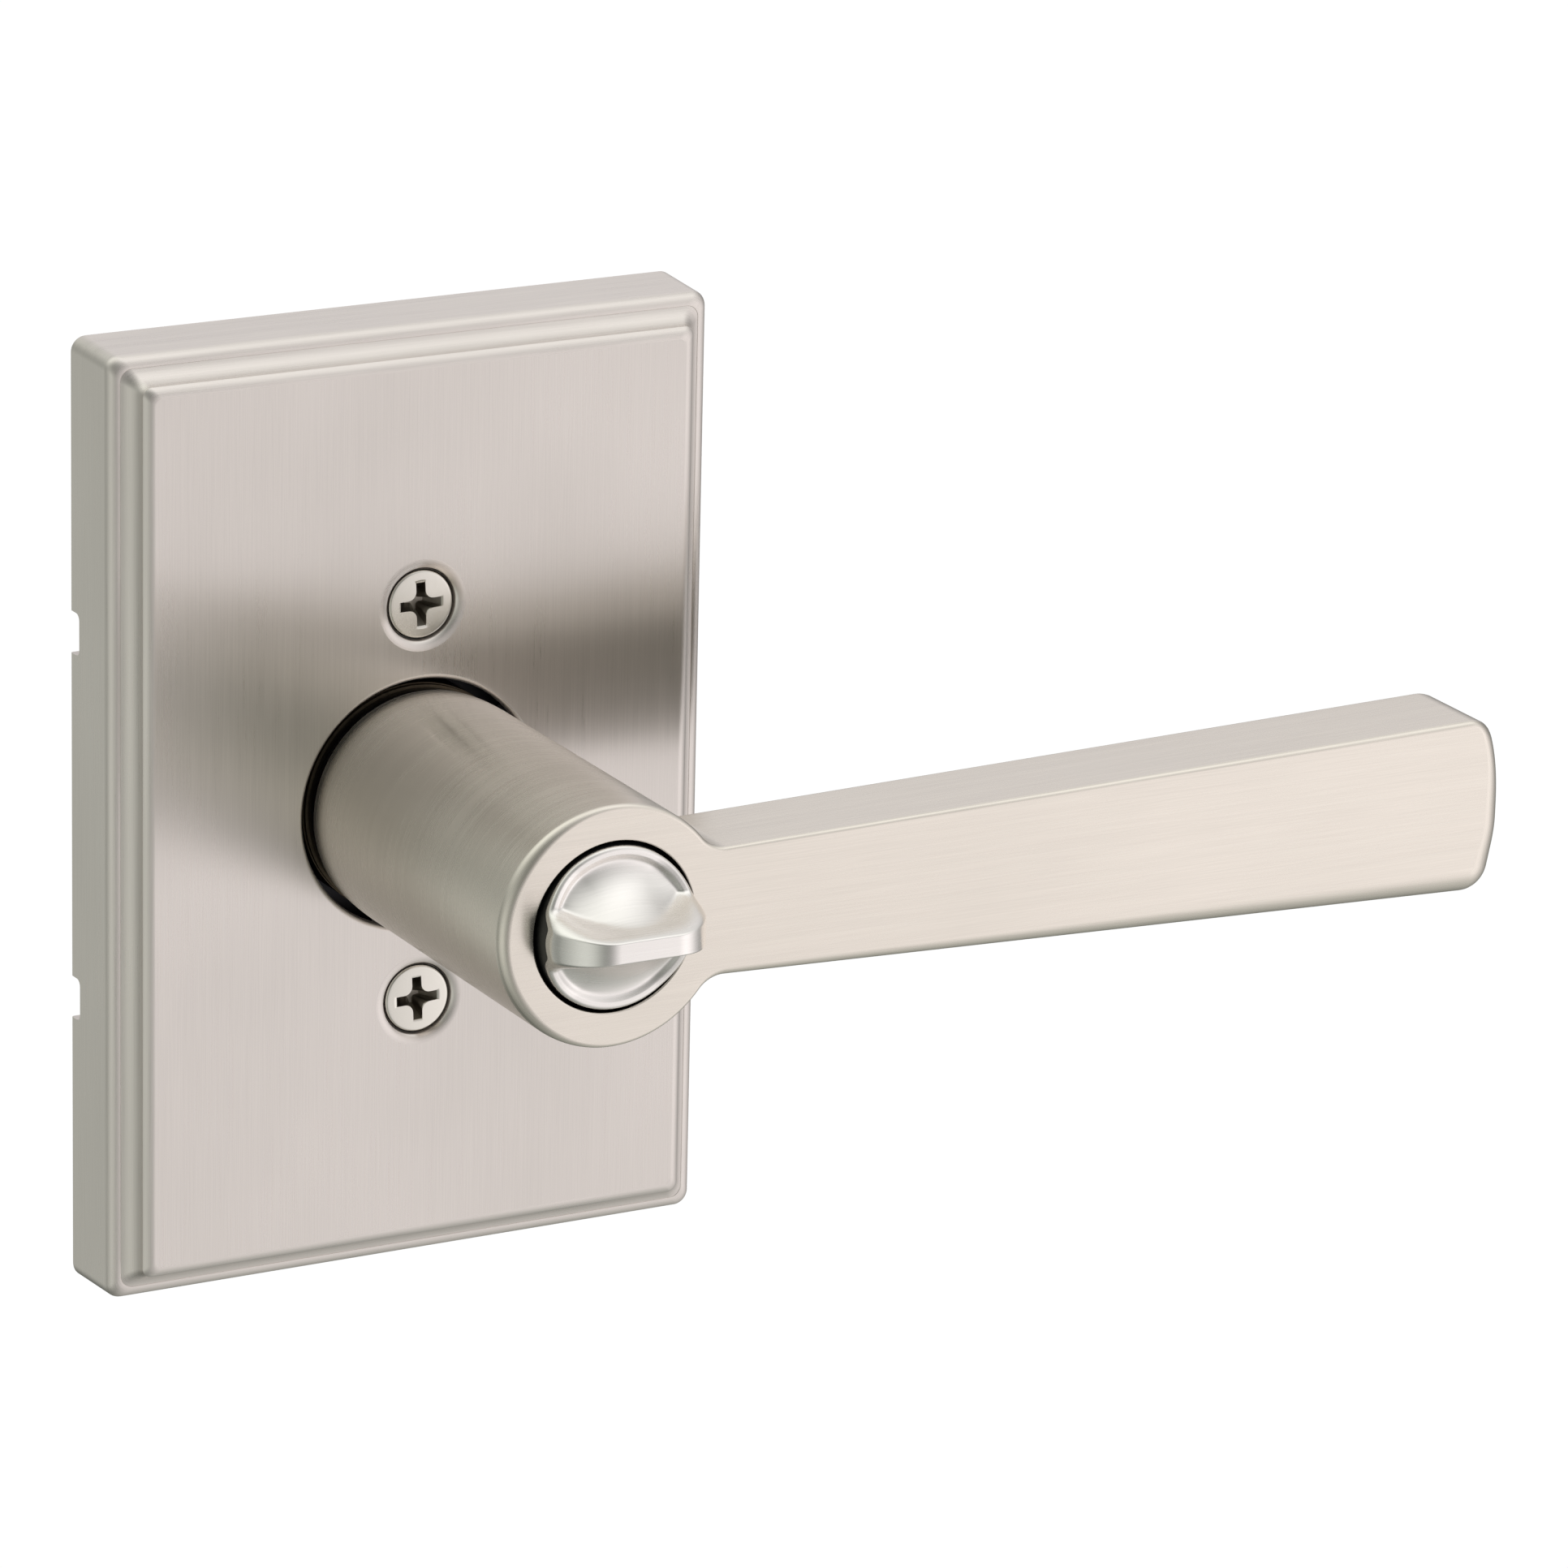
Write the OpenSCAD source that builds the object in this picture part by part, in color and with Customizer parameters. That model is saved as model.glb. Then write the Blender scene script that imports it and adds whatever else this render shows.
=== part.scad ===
// Interior half of a privacy lever set for a house door.
// Shapes are drawn in a bench frame: x to the right, y up, z out of the door.
// on_door() turns that frame so that +Z is up and the room is on the -Y side.
// The door's face is at z = 0 in the bench frame, and the turning axis is the z axis.

/* [Rose] */
// Width of the rose at the door
rose_w = 68.6; // [66:0.2:80]
// Height of the rose at the door
rose_h = 101.6; // [96:0.2:120]
// Depth of the rose's straight side wall
rose_wall_depth = 7.7; // [6.5:0.1:8.5]
// Distance from the door to the flat front panel
rose_depth = 11.6; // [11.2:0.1:13]
// Sheet thickness of the rose
rose_sheet = 1.2; // [0.8:0.1:1.4]
// Radius of the round hole for the lever's shank
rose_hole_r = 13.4; // [13.2:0.1:14]

/* [Lever] */
// Radius of the lever's round shank
shank_r = 12.7; // [12.2:0.1:12.9]
// Distance from the door to the lever's front face
lever_front = 55.4; // [52:0.1:62]
// Distance from the turning axis to the tip of the blade
blade_reach = 105; // [90:1:125]
// Thickness of the blade, front to back
blade_depth = 11.6; // [9:0.1:13]
// Half height that the blade's edges would have at the turning axis
blade_half_root = 6.38; // [5.5:0.01:7]
// Growth of the blade's half height for each millimetre of reach
blade_flare = 0.0325; // [0:0.0005:0.05]
// Angle that the blade hangs below level at rest
blade_droop = 0.66; // [0:0.01:2]
// Radius of the arc at the blade's tip
tip_arc_r = 30; // [24:1:80]
// Distance of the tip's foremost point below the blade's centre line
tip_drop = 1.6; // [0:0.1:2.5]
// Radius of the blade's tip corners
tip_corner_r = 3.4; // [1:0.1:4]
// Radius of the two hollow corners between shank and blade
root_fillet_r = 3.6; // [2:0.1:5]

/* [Button] */
// Radius of the turn button's disc
button_r = 8.55; // [8:0.05:8.6]
// Radius of the hole for the button in the shank's face
button_hole_r = 9; // [8.8:0.1:9.4]
// Height of the thumb wing above the lever's face
wing_rise = 7.8; // [5:0.1:9]
// Thickness of the thumb wing at its crest
wing_crest = 2.2; // [1.6:0.1:3]
// Half length of the level part of the thumb wing's crest
wing_half = 3.2; // [2:0.1:3.4]

/* [Fixings] */
// Distance between the two mounting screws
screw_pitch = 42.86; // [42.8:0.01:43.2]
// Outer radius of the mounting screws' thread
screw_r = 2.08; // [2:0.01:2.2]
// Radius of the mounting screws' flat heads
screw_head_r = 3.63; // [3.4:0.01:3.8]
// Distance that the mounting screws reach behind the door's face
screw_reach = 46; // [36:1:52]
// Radius of the ring that finds the door's cross bore
bore_ring_r = 26.6; // [26.2:0.1:26.7]
// Half width of the square hole for the latch spindle
spindle_half = 4.05; // [4:0.01:4.1]

/* [Hidden] */
$fn = 96;
eps = 0.01;

// Rose moulding, as insets from the outer wall and heights from the door
wall_draft = 0.25;
bead_r = 1.25;
bead_top = rose_wall_depth + bead_r;
crease_inset = wall_draft + bead_r;
step_inset = 3.1;
step_height = rose_depth - 0.6;
panel_inset = 4.25;
// Hollow between bead and step: a circle through both of its edges
cove_z = step_height + 0.2;
cove_x = (pow(step_inset, 2) + pow(step_height - cove_z, 2) - pow(crease_inset, 2)
    - pow(bead_top - cove_z, 2)) / (2 * (step_inset - crease_inset));
cove_r = norm([step_inset - cove_x, step_height - cove_z]);
cove_a0 = 180 - atan2(bead_top - cove_z, crease_inset - cove_x);
cove_a1 = 180 - atan2(step_height - cove_z, step_inset - cove_x);
rose_corner_r = 1.6;
notch_centre = 19.7;
notch_w = 4.4;
notch_depth = 2;

// Screw dimples in the rose
head_sink = 0.3;
head_top = rose_depth - head_sink;
neck_r = 1.9;
thread_start = -3.5;
head_cone = (screw_head_r - neck_r) / tan(41);
head_land = 0.3;
dimple_r = 4;
dimple_rim_r = 4.8;
dimple_floor = 8;
screw_hole_r = 2.3;

// Running gear along the turning axis
tube_r = 9.5;
tube_bore_r = 7.6;
running_gap = 0.05;
tube_rear = -14.4;
tube_front = 37;
plate_t = 1.6;
plate_w = 62;
plate_h = 84;
collar_r = 17.5;
collar_bore_r = 11.2;
collar_front = 8.6;
housing_r = 17;
housing_wall = 1.6;
housing_rear = -12;
rivet_circle_r = 14.6;
boss_r = 2.2;
stop_angles = [22, 158, 270];
rivet_r = 1.2;
washer_rear = 9.25;
washer_t = 0.5;
ring_rear = 9.85;
ring_t = 0.9;
groove_r = 8.85;

// Lever
shank_rear = 11;
blade_rear = lever_front - blade_depth;
shank_round = 0.5;
blade_step = 0.02;
socket_floor = 48;
web_rear = 40;
sleeve_r = 6.5;
set_screw_z = 24;
set_screw_r = 2.5;

// Button
stem_r = 4;
stem_rear = 32.5;
disc_rear = 49.6;
disc_rim = lever_front + 0.5;
wing_top = lever_front + wing_rise;
wing_shoulder = lever_front + 2.2;
flange_front = 49.2;
clip_rear = 39.2;
clip_t = 0.7;
bar_half_w = 2.4;
bar_half_t = 0.75;
bar_rear = -40;
bar_front = 44;
bar_pin_z = 35.2;

// Arc points from one angle to the other, in steps of about step degrees
function arc(c, r, a0, a1, step = 6) =
    let (n = max(2, ceil(abs(a1 - a0) / step)))
    [for (i = [0:n]) let (a = a0 + (a1 - a0) * i / n) [c[0] + r * cos(a), c[1] + r * sin(a)]];

function mirrored(pts) = [for (i = [len(pts) - 1:-1:0]) [-pts[i][0], pts[i][1]]];

module on_door() {
    rotate([90, 0, 0])
        children();
}

module tube(r_out, r_in, z0, z1) {
    translate([0, 0, z0])
        difference() {
            cylinder(r = r_out, h = z1 - z0);
            translate([0, 0, -1])
                cylinder(r = r_in, h = z1 - z0 + 2);
        }
}

module rod(r, z0, z1) {
    translate([0, 0, z0])
        cylinder(r = r, h = z1 - z0);
}

module rounded_rect(w, h, r) {
    square([w - 2 * r, h], center = true);
    square([w, h - 2 * r], center = true);
    for (sx = [-1, 1], sy = [-1, 1])
        translate([sx * (w / 2 - r), sy * (h / 2 - r)])
            circle(r = r, $fn = 48);
}

module at_screws() {
    for (sy = [-1, 1])
        translate([0, sy * screw_pitch / 2, 0])
            children();
}

// ---- rose ----

// Half of the moulded outline, from the door's face to the panel, for a given half width
function moulding(half) = concat(
    [[half, 0], [half - wall_draft, rose_wall_depth]],
    arc([half - wall_draft - bead_r, rose_wall_depth], bead_r, 15, 90, 15),
    arc([half - cove_x, cove_z], cove_r, cove_a0 - 12, cove_a1, 11),
    [[half - step_inset - 0.35, rose_depth - 0.25], [half - step_inset - 0.75, rose_depth - 0.06],
     [half - panel_inset, rose_depth]]);

module moulded_prism(half, length) {
    rotate([90, 0, 0])
        linear_extrude(length, center = true)
            polygon(concat(moulding(half), mirrored(moulding(half))));
}

module rose_outside() {
    intersection() {
        moulded_prism(rose_w / 2, rose_h + 2);
        rotate([0, 0, 90])
            moulded_prism(rose_h / 2, rose_w + 2);
        translate([0, 0, -1])
            linear_extrude(rose_depth + 2)
                rounded_rect(rose_w, rose_h, rose_corner_r);
    }
}

module rose_inside() {
    side = 2 * (rose_sheet + wall_draft);
    upper = 2 * (panel_inset + 0.3);
    translate([0, 0, -1])
        linear_extrude(rose_wall_depth + 1)
            rounded_rect(rose_w - side, rose_h - side, 1);
    translate([0, 0, -1])
        linear_extrude(rose_depth - rose_sheet + 1)
            rounded_rect(rose_w - upper, rose_h - upper, 1);
}

module head_seat() {
    seat = head_cone + 0.1;
    rod(screw_hole_r, 0, rose_depth + 1);
    translate([0, 0, head_top - head_land - seat])
        cylinder(r1 = neck_r, r2 = neck_r + seat * tan(41), h = seat);
    rod(dimple_r, head_top - head_land, rose_depth + 1);
}

module rose() {
    color("silver")
        on_door()
            difference() {
                union() {
                    difference() {
                        rose_outside();
                        rose_inside();
                    }
                    at_screws()
                        rod(dimple_rim_r, dimple_floor, rose_depth - 0.5);
                }
                rod(rose_hole_r, 0, rose_depth + 1);
                at_screws()
                    head_seat();
                for (sx = [-1, 1], sy = [-1, 1])
                    translate([sx * rose_w / 2, sy * notch_centre, 0])
                        cube([8, notch_w, 2 * notch_depth], center = true);
            }
}

// ---- mounting plate and what is fixed to it ----

module mounting_plate() {
    color("lightsteelblue")
        on_door() {
            difference() {
                linear_extrude(plate_t)
                    rounded_rect(plate_w, plate_h, 5);
                rod(collar_bore_r, -1, plate_t + 1);
                at_screws()
                    rod(screw_hole_r, -1, plate_t + 1);
                at_rivets()
                    rod(rivet_r + 0.02, -1, plate_t + 1);
            }
            tube(bore_ring_r, bore_ring_r - 1.5, -3, eps);
        }
}

module at_rivets() {
    for (a = stop_angles)
        rotate([0, 0, a])
            translate([rivet_circle_r, 0, 0])
                children();
}

module screw_spacers() {
    color("gainsboro")
        on_door()
            at_screws()
                tube(3.7, screw_hole_r, plate_t, dimple_floor);
}

module cross_recess() {
    for (a = [0, 90])
        rotate([0, 0, a])
            translate([0, 0, head_top - 0.6])
                cube([4.5, 0.95, 2.4], center = true);
    translate([0, 0, head_top - 2.6])
        cylinder(r1 = 0.5, r2 = 1.4, h = 2.7);
}

module mounting_screws() {
    color("silver")
        on_door()
            at_screws()
                difference() {
                    union() {
                        rod(screw_r, -screw_reach, thread_start);
                        rod(neck_r, thread_start - 1, head_top - head_land);
                        translate([0, 0, head_top - head_land - head_cone])
                            cylinder(r1 = neck_r, r2 = screw_head_r, h = head_cone);
                        rod(screw_head_r, head_top - head_land, head_top);
                    }
                    cross_recess();
                }
}

module bearing_collar() {
    color("darkgray")
        on_door()
            difference() {
                union() {
                    rod(collar_r, plate_t, 4.6);
                    rod(collar_bore_r + 1.2, plate_t, collar_front);
                }
                rod(collar_bore_r, 0, collar_front + 1);
                at_rivets() {
                    rod(rivet_r + 0.02, 0, 3.6);
                    rod(2.1, 3.6, 6);
                }
            }
}

module front_bushing() {
    color("darkgoldenrod")
        on_door() {
            tube(collar_bore_r, tube_r + running_gap, 0, collar_front);
            tube(12.4, tube_r + running_gap, collar_front, 9.2);
        }
}

module spring_housing() {
    color("darkgray")
        on_door()
            difference() {
                union() {
                    difference() {
                        rod(housing_r, housing_rear, 0);
                        rod(housing_r - housing_wall, housing_rear + housing_wall, 1);
                        rod(10.8, housing_rear - 1, 0);
                    }
                    at_rivets()
                        rod(boss_r, housing_rear + 0.5, -0.1);
                    // post that the resting leg of the spring bears on
                    translate([-2.2, housing_r - housing_wall - 0.7, housing_rear + 0.5])
                        cube([4.4, 1, 8.1]);
                }
                at_rivets()
                    rod(rivet_r + 0.02, housing_rear - 1, 1);
            }
}

module rear_bushing() {
    color("darkgoldenrod")
        on_door() {
            tube(10.8, tube_r + running_gap, housing_rear, housing_rear + housing_wall);
            tube(12, tube_r + running_gap, housing_rear - 0.8, housing_rear);
        }
}

module rivets() {
    color("lightgray")
        on_door()
            at_rivets() {
                rod(rivet_r, housing_rear - 0.7, 4.3);
                rod(1.9, 3.6, 4.4);
                rod(1.9, housing_rear - 0.8, housing_rear);
            }
}

// ---- return spring: one wire, four close turns, a straight leg at each end ----

wire_r = 0.65;
coil_r = 11.2;
coil_turns = 4;
coil_pitch = 1.36;
coil_rear = -9.6;
leg_angle = 11.8;
leg_end_r = 15.1;
wire_sides = 8;
turn_steps = 24;

function coil_point(t) =
    let (a = 90 - leg_angle + t * (360 * coil_turns + 2 * leg_angle))
    [coil_r * cos(a), coil_r * sin(a), coil_rear + t * coil_turns * coil_pitch];

// Point of a leg at radius r, in line with the coil's end at t (0 or 1), shifted along the turn
function leg_point(t, r, shift) =
    let (a = 90 - leg_angle + t * 2 * leg_angle + shift, z = coil_rear + t * coil_turns * coil_pitch)
    [r * cos(a), r * sin(a), z];

function spring_path() =
    let (n = coil_turns * turn_steps)
    concat(
        [leg_point(0, leg_end_r, 0), leg_point(0, coil_r + 1.5, 0), leg_point(0, coil_r + 0.5, 2)],
        [for (i = [1:n - 1]) coil_point(i / n)],
        [leg_point(1, coil_r + 0.5, -2), leg_point(1, coil_r + 1.5, 0), leg_point(1, leg_end_r, 0)]);

function unit(v) = v / norm(v);

// Ring of points round each path point, square to the path's direction there
function wire_ring(path, i) =
    let (before = path[max(i - 1, 0)], after = path[min(i + 1, len(path) - 1)],
         dir = unit(after - before), side = unit(cross(dir, [0, 0, 1])), up = cross(side, dir))
    [for (k = [0:wire_sides - 1]) let (a = 360 * k / wire_sides)
        path[i] + wire_r * (cos(a) * side + sin(a) * up)];

module swept_wire(path) {
    n = len(path);
    points = [for (i = [0:n - 1]) each wire_ring(path, i)];
    sides = [for (i = [0:n - 2], k = [0:wire_sides - 1])
        let (a = i * wire_sides + k, b = i * wire_sides + (k + 1) % wire_sides)
        [a, b, b + wire_sides, a + wire_sides]];
    first_cap = [for (k = [wire_sides - 1:-1:0]) k];
    last_cap = [for (k = [0:wire_sides - 1]) (n - 1) * wire_sides + k];
    polyhedron(points, concat(sides, [first_cap, last_cap]));
}

module return_spring() {
    color("dimgray")
        on_door()
            swept_wire(spring_path());
}

// ---- lever and what turns with it ----

function blade_half(x) = blade_half_root + blade_flare * x;

// Fillet between the shank and the blade's upper edge; the lower one mirrors it
flare_angle = atan(blade_flare);
fillet_r = root_fillet_r;
// The fillet starts this many degrees clear of the shank, so that the two surfaces cross cleanly
fillet_skip = 16;
fillet_off = (blade_half_root + fillet_r / cos(flare_angle)) * cos(flare_angle);
fillet_dist = sqrt(pow(shank_r + fillet_r, 2) - pow(fillet_off, 2));
fillet_c = [fillet_dist * cos(flare_angle) - fillet_off * sin(flare_angle),
            fillet_dist * sin(flare_angle) + fillet_off * cos(flare_angle)];
fillet_start = atan2(-fillet_c[1], -fillet_c[0]) + fillet_skip;

// Centre of the circle that touches the blade's edge and, from inside, the arc at the tip
function corner_centre(tip_c) =
    let (b = blade_half(tip_c[0]) - tip_corner_r / cos(flare_angle) - tip_c[1],
         k = 1 + pow(blade_flare, 2),
         q = pow(blade_flare * b, 2) - k * (pow(b, 2) - pow(tip_arc_r - tip_corner_r, 2)),
         x = tip_c[0] + (sqrt(q) - blade_flare * b) / k)
    [x, blade_half(x) - tip_corner_r / cos(flare_angle)];

// Edge of the blade from the shank to the tip, drawn as the upper one
function blade_edge(drop) =
    let (tip_c = [blade_reach - tip_arc_r, -drop],
         corner_c = corner_centre(tip_c),
         end = atan2(corner_c[1] - tip_c[1], corner_c[0] - tip_c[0]))
    concat(
        arc(fillet_c, fillet_r, fillet_start, -90 + flare_angle, 8),
        arc(corner_c, tip_corner_r, 90 + flare_angle, end, 10),
        [for (i = [1:5]) let (a = end * (1 - i / 6))
            tip_c + tip_arc_r * [cos(a), sin(a)]]);

function flipped(pts) = [for (i = [len(pts) - 1:-1:0]) [pts[i][0], -pts[i][1]]];

module blade() {
    translate([0, 0, blade_rear])
        rotate([0, 0, -blade_droop])
            linear_extrude(blade_depth - blade_step)
                polygon(concat([[0, 0]], blade_edge(tip_drop), [[blade_reach, -tip_drop]],
                    flipped(blade_edge(-tip_drop))));
}

module shank() {
    rotate_extrude()
        polygon([
            [0, shank_rear], [shank_r - shank_round, shank_rear],
            [shank_r, shank_rear + shank_round], [shank_r, lever_front - shank_round],
            [shank_r - shank_round / 3, lever_front - shank_round / 3],
            [shank_r - shank_round, lever_front], [0, lever_front]]);
}

module lever() {
    color("lightgray")
        on_door()
            difference() {
                union() {
                    shank();
                    blade();
                }
                rod(tube_r + 0.02, shank_rear - 1, web_rear);
                rod(sleeve_r, web_rear - 1, socket_floor + 1);
                rod(button_hole_r, socket_floor, lever_front + 1);
                translate([0, 0, set_screw_z])
                    rotate([90, 0, 0])
                        cylinder(r = set_screw_r, h = 20);
            }
}

module drive_tube() {
    color("slategray")
        on_door()
            difference() {
                union() {
                    tube(tube_r, tube_bore_r, tube_rear, tube_front);
                    tube(11.4, tube_bore_r, tube_rear, -12.9);
                }
                tube(tube_r + 1, groove_r, ring_rear - 0.05, ring_rear + ring_t + 0.05);
                translate([0, 0, set_screw_z])
                    rotate([90, 0, 0])
                        translate([0, 0, 5])
                            cylinder(r = set_screw_r + 0.05, h = 6);
                translate([0, 0, -8])
                    rotate([0, 90, 0])
                        cylinder(r = 1.02, h = 30, center = true, $fn = 32);
            }
}

module spring_driver() {
    color("gray")
        on_door()
            difference() {
                union() {
                    rod(12.2, -3.4, -1.6);
                    intersection() {
                        rod(14.2, -9.8, -1.6);
                        translate([-1.9, 12.5, -9.8])
                            cube([3.8, 3, 8.2]);
                    }
                    translate([-1.9, 9, -3.4])
                        cube([3.8, 4, 1.8]);
                }
                rod(tube_r + 0.02, -11, 0);
            }
}

module spindle_socket() {
    color("slategray")
        on_door()
            difference() {
                rod(tube_bore_r - 0.02, tube_rear, -3);
                translate([-spindle_half, -spindle_half, tube_rear - 1])
                    cube([2 * spindle_half, 2 * spindle_half, 14]);
                translate([0, 0, -8])
                    rotate([0, 90, 0])
                        cylinder(r = 1.02, h = 30, center = true, $fn = 32);
            }
}

// Two short halves, so that the spindle's square hole stays clear
module socket_pins() {
    color("lightgray")
        on_door()
            for (sx = [0, 180])
                rotate([0, 0, sx])
                    translate([spindle_half + 0.2, 0, -8])
                        rotate([0, 90, 0])
                            cylinder(r = 1, h = 5, $fn = 32);
}

module thrust_washer() {
    color("whitesmoke")
        on_door()
            tube(12.3, tube_r + 0.1, washer_rear, washer_rear + washer_t);
}

module retaining_ring() {
    color("gray")
        on_door()
            difference() {
                tube(12, groove_r + 0.03, ring_rear, ring_rear + ring_t);
                translate([-4, -14, ring_rear - 1])
                    cube([8, 8, ring_t + 2]);
            }
}

module lever_set_screw() {
    color("dimgray")
        on_door()
            translate([0, 0, set_screw_z])
                rotate([90, 0, 0])
                    difference() {
                        translate([0, 0, 8.2])
                            cylinder(r = set_screw_r - 0.02, h = 3.9);
                        translate([0, 0, 10.2])
                            cylinder(r = 1.45, h = 3, $fn = 6);
                    }
}

module button_sleeve() {
    color("ivory")
        on_door()
            difference() {
                union() {
                    rod(sleeve_r - 0.02, web_rear, socket_floor);
                    rod(8.6, socket_floor, flange_front);
                }
                rod(stem_r + running_gap, web_rear - 1, flange_front + 1);
                // window for the button's stop: the stop's own width and a quarter turn
                stop_window();
            }
}

stop_in = 6.2;
stop_out = 7.9;
stop_half_angle = 12;
stop_turn = 90;
stop_spare = 2;

function sector(r0, r1, a0, a1) = concat(arc([0, 0], r1, a0, a1), arc([0, 0], r0, a1, a0));

module stop_window() {
    translate([0, 0, socket_floor + 0.3])
        linear_extrude(2)
            polygon(sector(stop_in - 0.1, stop_out + 0.1,
                90 - stop_turn - stop_half_angle - stop_spare, 90 + stop_half_angle + stop_spare));
}

module wave_washer() {
    color("lightgray")
        on_door()
            tube(5.9, stem_r + 0.1, flange_front + 0.04, disc_rear - 0.04);
}

// ---- turn button and what turns with it ----

// Side view of the button along its wing
wing_side = concat(
    [[button_r + 1, disc_rear], [button_r + 1, wing_shoulder - 0.9], [button_r - 0.25, wing_shoulder]],
    arc([wing_half, wing_top - 4.6], 4.6, 25, 90, 13));

// End view of the button: a crest, hollow flanks and the disc's rim
scoop_r = 7.4;
scoop_c = [wing_crest / 2 + 0.55 + scoop_r, wing_top - 0.6];
scoop_low = disc_rim - 0.15;
wing_end = concat(
    [[button_r + 1, disc_rear], [button_r + 1, disc_rim], [button_r - 0.6, disc_rim],
     [button_r - 1, scoop_low]],
    arc(scoop_c, scoop_r, 258, 184, 9),
    [[wing_crest / 2 + 0.1, wing_top - 0.2], [wing_crest / 2 - 0.3, wing_top]]);

module wing_prism(half_outline) {
    rotate([90, 0, 0])
        linear_extrude(4 * button_r, center = true)
            polygon(concat(half_outline, mirrored(half_outline)));
}

module turn_button() {
    color("white")
        on_door()
            difference() {
                union() {
                    intersection() {
                        rod(button_r, disc_rear, wing_top + 1);
                        wing_prism(wing_side);
                        rotate([0, 0, 90])
                            wing_prism(wing_end);
                    }
                    rod(stem_r, stem_rear, disc_rear + eps);
                    translate([0, 0, socket_floor + 0.6])
                        linear_extrude(disc_rear - socket_floor - 0.6 + eps)
                            polygon(sector(stop_in, stop_out, 90 - stop_half_angle,
                                90 + stop_half_angle));
                }
                tube(stem_r + 1, 3, clip_rear - 0.05, clip_rear + clip_t + 0.05);
                translate([-bar_half_w - 0.03, -bar_half_t - 0.03, stem_rear - 1])
                    cube([2 * bar_half_w + 0.06, 2 * bar_half_t + 0.06, bar_front - stem_rear + 1.02]);
                bar_pin_hole();
            }
}

module bar_pin_hole() {
    translate([0, 0, bar_pin_z])
        rotate([90, 0, 0])
            cylinder(r = 1.02, h = 20, center = true, $fn = 32);
}

module lock_bar() {
    color("silver")
        on_door()
            difference() {
                translate([-bar_half_w, -bar_half_t, bar_rear])
                    cube([2 * bar_half_w, 2 * bar_half_t, bar_front - bar_rear]);
                bar_pin_hole();
                // chamfered tail
                for (sx = [-1, 1])
                    translate([sx * bar_half_w, 0, bar_rear])
                        rotate([0, 45, 0])
                            cube([1.6, 4, 1.6], center = true);
            }
}

module bar_pin() {
    color("lightgray")
        on_door()
            translate([0, 0, bar_pin_z])
                rotate([90, 0, 0])
                    cylinder(r = 1, h = 7.6, center = true, $fn = 32);
}

module button_clip() {
    color("gray")
        on_door()
            difference() {
                tube(6, 3.03, clip_rear, clip_rear + clip_t);
                translate([-2, -8, clip_rear - 1])
                    cube([4, 8, clip_t + 2]);
            }
}

rose();
mounting_plate();
screw_spacers();
mounting_screws();
bearing_collar();
front_bushing();
spring_housing();
rear_bushing();
rivets();
return_spring();
lever();
drive_tube();
spring_driver();
spindle_socket();
socket_pins();
thrust_washer();
retaining_ring();
lever_set_screw();
button_sleeve();
wave_washer();
turn_button();
lock_bar();
bar_pin();
button_clip();
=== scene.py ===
# Inside half of a privacy lever set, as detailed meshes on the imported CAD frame.
# Shapes are worked out in the bench frame of the CAD source, in millimetres: x to the
# right, y up, z out of the door. to_row() turns them into the row frame, in metres.
from math import atan, atan2, cos, degrees, hypot, pi, radians, sin, sqrt, tan

import bmesh
import bpy
import numpy as np
from mathutils import Matrix, Vector
from mathutils.geometry import tessellate_polygon


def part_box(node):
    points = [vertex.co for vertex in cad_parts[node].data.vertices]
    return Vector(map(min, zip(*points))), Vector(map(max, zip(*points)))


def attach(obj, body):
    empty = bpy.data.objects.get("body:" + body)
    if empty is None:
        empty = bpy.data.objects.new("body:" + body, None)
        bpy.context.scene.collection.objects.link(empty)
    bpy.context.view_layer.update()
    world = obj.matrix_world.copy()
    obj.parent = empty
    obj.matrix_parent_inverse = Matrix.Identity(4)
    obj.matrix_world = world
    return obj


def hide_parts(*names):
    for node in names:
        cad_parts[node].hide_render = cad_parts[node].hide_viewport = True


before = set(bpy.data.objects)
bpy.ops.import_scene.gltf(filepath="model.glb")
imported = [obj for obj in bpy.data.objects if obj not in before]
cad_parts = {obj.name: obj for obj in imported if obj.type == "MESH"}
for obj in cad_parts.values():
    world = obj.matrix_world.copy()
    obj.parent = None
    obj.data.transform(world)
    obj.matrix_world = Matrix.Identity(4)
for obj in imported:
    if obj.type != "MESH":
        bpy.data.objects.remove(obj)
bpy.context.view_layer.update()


def to_row(p):
    """Bench frame in millimetres to row frame in metres."""
    p = np.asarray(p, float)
    return np.stack([p[..., 0], -p[..., 2], p[..., 1]], -1) / 1000.0


def bench_box(node):
    """Lowest and highest corners of a CAD node in the bench frame, in millimetres."""
    lo, hi = (np.array(c, float) * 1000 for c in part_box(node))
    return np.array([lo[0], lo[2], -hi[1]]), np.array([hi[0], hi[2], -lo[1]])


# ---------------------------------------------------------------- mesh helpers

BRUSH_UNIT = 10.0  # millimetres in one unit of the brush coordinate
SAME_POINT = 2e-7  # corners closer than this are one, in metres


def arc(centre, r, a0, a1, n):
    """Points on an arc from a0 to a1 degrees, in n steps."""
    a = np.radians(np.linspace(a0, a1, n + 1))
    return np.stack([centre[0] + r * np.cos(a), centre[1] + r * np.sin(a)], -1)


def smooth(lo, hi, x):
    """0 up to lo, 1 from hi on, and an even blend between them."""
    t = np.clip((x - lo) / (hi - lo), 0, 1)
    return t * t * (3 - 2 * t)


def lengths(path):
    """Distance along a path of (x, y) points, at each of them."""
    return np.concatenate([[0], np.cumsum(np.hypot(*np.diff(path, axis=0).T))])


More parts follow.
